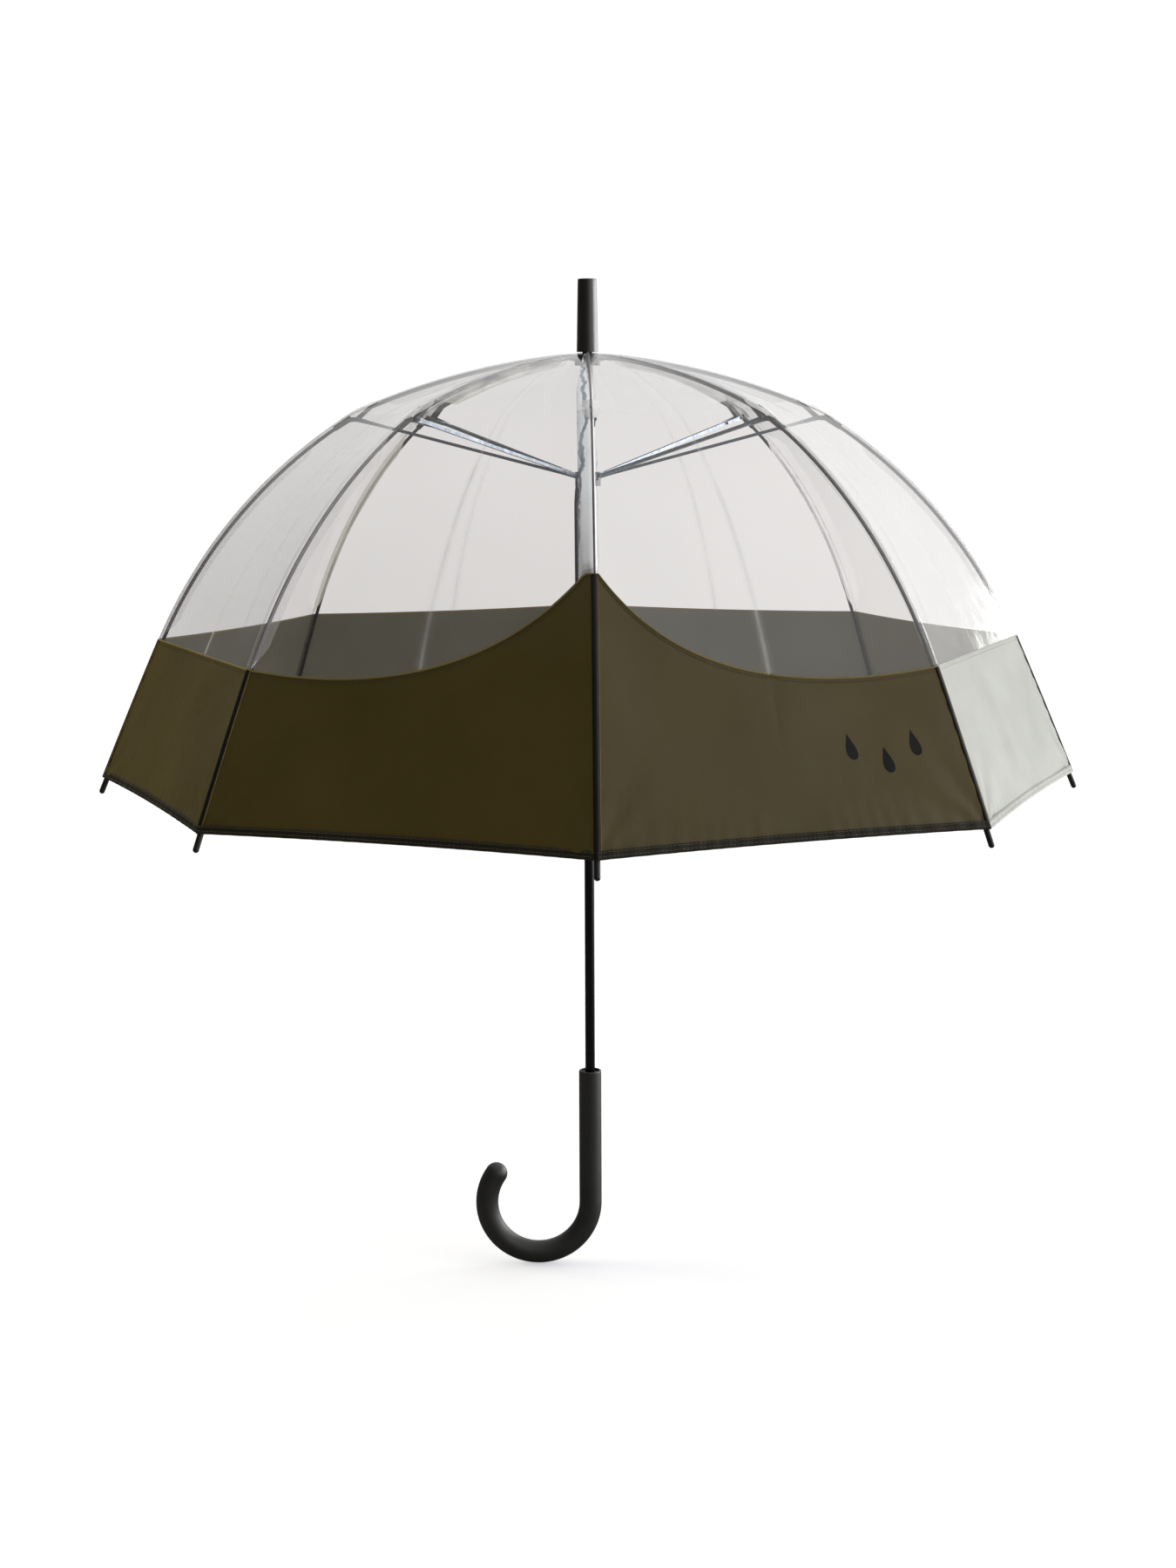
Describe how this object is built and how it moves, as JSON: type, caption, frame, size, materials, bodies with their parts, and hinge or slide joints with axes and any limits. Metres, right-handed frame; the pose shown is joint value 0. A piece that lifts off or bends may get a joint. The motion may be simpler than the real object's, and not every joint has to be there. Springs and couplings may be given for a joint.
{
  "type": "clear bubble umbrella",
  "caption": "Deep-dome stick umbrella: clear panels above an opaque band with a swooped front edge, folding ribs and stretchers on a sliding runner, crook handle.",
  "frame": {"origin": "on the shaft's axis, level with the lowest point of the crook", "axes": "+Z along the shaft towards the ferrule; -Y is the front, where the band rises to its peak on rib 1; the crook curves towards -X"},
  "size_m": [0.8578, 0.8578, 0.8714],
  "materials": {
    "black_tube": "satin",
    "soft_touch": "matte",
    "ferrule_plastic": "satin",
    "black_plastic": "matte",
    "wire": "satin",
    "spring_steel": "satin",
    "runner_plastic": "satin",
    "rib_steel": "satin",
    "rod_fibreglass": "satin",
    "tip_plastic": "matte",
    "stretcher_steel": "satin",
    "clear_film": "clear, glossy",
    "band_cloth": "coated, low sheen"
  },
  "bodies": {
    "root": {"shaft": "black_tube", "handle": "soft_touch", "ferrule": "ferrule_plastic", "crown_notch": "black_plastic", "crown_wire": "wire"},
    "top_catch": {"top_catch": "spring_steel"},
    "bottom_catch": {"bottom_catch": "spring_steel"},
    "runner": {"runner": "runner_plastic", "runner_wire": "wire"},
    "rib_inner_1": {"rib_inner_1": "rib_steel", "clear_panel_1": "clear_film"},
    "rib_outer_1": {"rib_outer_1": "rod_fibreglass", "rib_tip_1": "tip_plastic", "band_panel_1": "band_cloth"},
    "stretcher_1": {"stretcher_1": "stretcher_steel"},
    "rib_inner_2": {"rib_inner_2": "rib_steel", "clear_panel_2": "clear_film"},
    "rib_outer_2": {"rib_outer_2": "rod_fibreglass", "rib_tip_2": "tip_plastic", "band_panel_2": "band_cloth"},
    "stretcher_2": {"stretcher_2": "stretcher_steel"},
    "rib_inner_3": {"rib_inner_3": "rib_steel", "clear_panel_3": "clear_film"},
    "rib_outer_3": {"rib_outer_3": "rod_fibreglass", "rib_tip_3": "tip_plastic", "band_panel_3": "band_cloth"},
    "stretcher_3": {"stretcher_3": "stretcher_steel"},
    "rib_inner_4": {"rib_inner_4": "rib_steel", "clear_panel_4": "clear_film"},
    "rib_outer_4": {"rib_outer_4": "rod_fibreglass", "rib_tip_4": "tip_plastic", "band_panel_4": "band_cloth"},
    "stretcher_4": {"stretcher_4": "stretcher_steel"},
    "rib_inner_5": {"rib_inner_5": "rib_steel", "clear_panel_5": "clear_film"},
    "rib_outer_5": {"rib_outer_5": "rod_fibreglass", "rib_tip_5": "tip_plastic", "band_panel_5": "band_cloth"},
    "stretcher_5": {"stretcher_5": "stretcher_steel"},
    "rib_inner_6": {"rib_inner_6": "rib_steel", "clear_panel_6": "clear_film"},
    "rib_outer_6": {"rib_outer_6": "rod_fibreglass", "rib_tip_6": "tip_plastic", "band_panel_6": "band_cloth"},
    "stretcher_6": {"stretcher_6": "stretcher_steel"},
    "rib_inner_7": {"rib_inner_7": "rib_steel", "clear_panel_7": "clear_film"},
    "rib_outer_7": {"rib_outer_7": "rod_fibreglass", "rib_tip_7": "tip_plastic", "band_panel_7": "band_cloth"},
    "stretcher_7": {"stretcher_7": "stretcher_steel"},
    "rib_inner_8": {"rib_inner_8": "rib_steel", "clear_panel_8": "clear_film"},
    "rib_outer_8": {"rib_outer_8": "rod_fibreglass", "rib_tip_8": "tip_plastic", "band_panel_8": "band_cloth"},
    "stretcher_8": {"stretcher_8": "stretcher_steel"}
  },
  "joints": [
    {"name": "canopy_fold", "type": "hinge", "parent": "root", "child": "rib_inner_1", "pos_m": [0, -0.008, 0.8035], "axis": [1, 0, 0], "range_deg": [0, 73], "deforming": ["clear_panel_1", "band_panel_1"]},
    {"name": "rib_2_fold", "type": "hinge", "parent": "root", "child": "rib_inner_2", "pos_m": [0.00566, -0.00566, 0.8035], "axis": [0.7071, 0.7071, 0], "range_deg": [0, 73], "deforming": ["clear_panel_2", "band_panel_2"]},
    {"name": "rib_3_fold", "type": "hinge", "parent": "root", "child": "rib_inner_3", "pos_m": [0.008, 0, 0.8035], "axis": [0, 1, 0], "range_deg": [0, 73], "deforming": ["clear_panel_3", "band_panel_3"]},
    {"name": "rib_4_fold", "type": "hinge", "parent": "root", "child": "rib_inner_4", "pos_m": [0.00566, 0.00566, 0.8035], "axis": [-0.7071, 0.7071, 0], "range_deg": [0, 73], "deforming": ["clear_panel_4", "band_panel_4"]},
    {"name": "rib_5_fold", "type": "hinge", "parent": "root", "child": "rib_inner_5", "pos_m": [0, 0.008, 0.8035], "axis": [-1, 0, 0], "range_deg": [0, 73], "deforming": ["clear_panel_5", "band_panel_5"]},
    {"name": "rib_6_fold", "type": "hinge", "parent": "root", "child": "rib_inner_6", "pos_m": [-0.00566, 0.00566, 0.8035], "axis": [-0.7071, -0.7071, 0], "range_deg": [0, 73], "deforming": ["clear_panel_6", "band_panel_6"]},
    {"name": "rib_7_fold", "type": "hinge", "parent": "root", "child": "rib_inner_7", "pos_m": [-0.008, 0, 0.8035], "axis": [0, -1, 0], "range_deg": [0, 73], "deforming": ["clear_panel_7", "band_panel_7"]},
    {"name": "rib_8_fold", "type": "hinge", "parent": "root", "child": "rib_inner_8", "pos_m": [-0.00566, -0.00566, 0.8035], "axis": [0.7071, -0.7071, 0], "range_deg": [0, 73], "deforming": ["clear_panel_8", "band_panel_8"]},
    {"name": "rod_1_flex", "type": "hinge", "parent": "rib_inner_1", "child": "rib_outer_1", "pos_m": [0, -0.198, 0.7535], "axis": [1, 0, 0], "range_deg": [-36.5, 0]},
    {"name": "rod_2_flex", "type": "hinge", "parent": "rib_inner_2", "child": "rib_outer_2", "pos_m": [0.14001, -0.14001, 0.7535], "axis": [0.7071, 0.7071, 0], "range_deg": [-36.5, 0]},
    {"name": "rod_3_flex", "type": "hinge", "parent": "rib_inner_3", "child": "rib_outer_3", "pos_m": [0.198, 0, 0.7535], "axis": [0, 1, 0], "range_deg": [-36.5, 0]},
    {"name": "rod_4_flex", "type": "hinge", "parent": "rib_inner_4", "child": "rib_outer_4", "pos_m": [0.14001, 0.14001, 0.7535], "axis": [-0.7071, 0.7071, 0], "range_deg": [-36.5, 0]},
    {"name": "rod_5_flex", "type": "hinge", "parent": "rib_inner_5", "child": "rib_outer_5", "pos_m": [0, 0.198, 0.7535], "axis": [-1, 0, 0], "range_deg": [-36.5, 0]},
    {"name": "rod_6_flex", "type": "hinge", "parent": "rib_inner_6", "child": "rib_outer_6", "pos_m": [-0.14001, 0.14001, 0.7535], "axis": [-0.7071, -0.7071, 0], "range_deg": [-36.5, 0]},
    {"name": "rod_7_flex", "type": "hinge", "parent": "rib_inner_7", "child": "rib_outer_7", "pos_m": [-0.198, 0, 0.7535], "axis": [0, -1, 0], "range_deg": [-36.5, 0]},
    {"name": "rod_8_flex", "type": "hinge", "parent": "rib_inner_8", "child": "rib_outer_8", "pos_m": [-0.14001, -0.14001, 0.7535], "axis": [0.7071, -0.7071, 0], "range_deg": [-36.5, 0]},
    {"name": "stretcher_1_pivot", "type": "hinge", "parent": "rib_inner_1", "child": "stretcher_1", "pos_m": [0, -0.198, 0.7535], "axis": [1, 0, 0], "range_deg": [-146, 0]},
    {"name": "stretcher_2_pivot", "type": "hinge", "parent": "rib_inner_2", "child": "stretcher_2", "pos_m": [0.14001, -0.14001, 0.7535], "axis": [0.7071, 0.7071, 0], "range_deg": [-146, 0]},
    {"name": "stretcher_3_pivot", "type": "hinge", "parent": "rib_inner_3", "child": "stretcher_3", "pos_m": [0.198, 0, 0.7535], "axis": [0, 1, 0], "range_deg": [-146, 0]},
    {"name": "stretcher_4_pivot", "type": "hinge", "parent": "rib_inner_4", "child": "stretcher_4", "pos_m": [0.14001, 0.14001, 0.7535], "axis": [-0.7071, 0.7071, 0], "range_deg": [-146, 0]},
    {"name": "stretcher_5_pivot", "type": "hinge", "parent": "rib_inner_5", "child": "stretcher_5", "pos_m": [0, 0.198, 0.7535], "axis": [-1, 0, 0], "range_deg": [-146, 0]},
    {"name": "stretcher_6_pivot", "type": "hinge", "parent": "rib_inner_6", "child": "stretcher_6", "pos_m": [-0.14001, 0.14001, 0.7535], "axis": [-0.7071, -0.7071, 0], "range_deg": [-146, 0]},
    {"name": "stretcher_7_pivot", "type": "hinge", "parent": "rib_inner_7", "child": "stretcher_7", "pos_m": [-0.198, 0, 0.7535], "axis": [0, -1, 0], "range_deg": [-146, 0]},
    {"name": "stretcher_8_pivot", "type": "hinge", "parent": "rib_inner_8", "child": "stretcher_8", "pos_m": [-0.14001, -0.14001, 0.7535], "axis": [0.7071, -0.7071, 0], "range_deg": [-146, 0]},
    {"name": "runner_travel", "type": "hinge", "parent": "stretcher_1", "child": "runner", "pos_m": [0, -0.008, 0.7035], "axis": [1, 0, 0], "range_deg": [0, 73]},
    {"name": "top_catch_press", "type": "slide", "parent": "root", "child": "top_catch", "axis": [-0.9239, 0.3827, 0], "range_m": [0, 0.0028], "stiffness_N_per_m": 600, "springref_m": -0.001},
    {"name": "bottom_catch_press", "type": "slide", "parent": "root", "child": "bottom_catch", "axis": [-0.3827, -0.9239, 0], "range_m": [0, 0.0028], "stiffness_N_per_m": 600, "springref_m": -0.001}
  ],
  "couplings": [
    {"joint": "rib_2_fold", "follows": "canopy_fold", "ratio": 1},
    {"joint": "rib_3_fold", "follows": "canopy_fold", "ratio": 1},
    {"joint": "rib_4_fold", "follows": "canopy_fold", "ratio": 1},
    {"joint": "rib_5_fold", "follows": "canopy_fold", "ratio": 1},
    {"joint": "rib_6_fold", "follows": "canopy_fold", "ratio": 1},
    {"joint": "rib_7_fold", "follows": "canopy_fold", "ratio": 1},
    {"joint": "rib_8_fold", "follows": "canopy_fold", "ratio": 1},
    {"joint": "rod_1_flex", "follows": "canopy_fold", "ratio": -0.5},
    {"joint": "rod_2_flex", "follows": "canopy_fold", "ratio": -0.5},
    {"joint": "rod_3_flex", "follows": "canopy_fold", "ratio": -0.5},
    {"joint": "rod_4_flex", "follows": "canopy_fold", "ratio": -0.5},
    {"joint": "rod_5_flex", "follows": "canopy_fold", "ratio": -0.5},
    {"joint": "rod_6_flex", "follows": "canopy_fold", "ratio": -0.5},
    {"joint": "rod_7_flex", "follows": "canopy_fold", "ratio": -0.5},
    {"joint": "rod_8_flex", "follows": "canopy_fold", "ratio": -0.5},
    {"joint": "stretcher_1_pivot", "follows": "canopy_fold", "ratio": -2},
    {"joint": "stretcher_2_pivot", "follows": "canopy_fold", "ratio": -2},
    {"joint": "stretcher_3_pivot", "follows": "canopy_fold", "ratio": -2},
    {"joint": "stretcher_4_pivot", "follows": "canopy_fold", "ratio": -2},
    {"joint": "stretcher_5_pivot", "follows": "canopy_fold", "ratio": -2},
    {"joint": "stretcher_6_pivot", "follows": "canopy_fold", "ratio": -2},
    {"joint": "stretcher_7_pivot", "follows": "canopy_fold", "ratio": -2},
    {"joint": "stretcher_8_pivot", "follows": "canopy_fold", "ratio": -2},
    {"joint": "runner_travel", "follows": "canopy_fold", "ratio": 1}
  ]
}
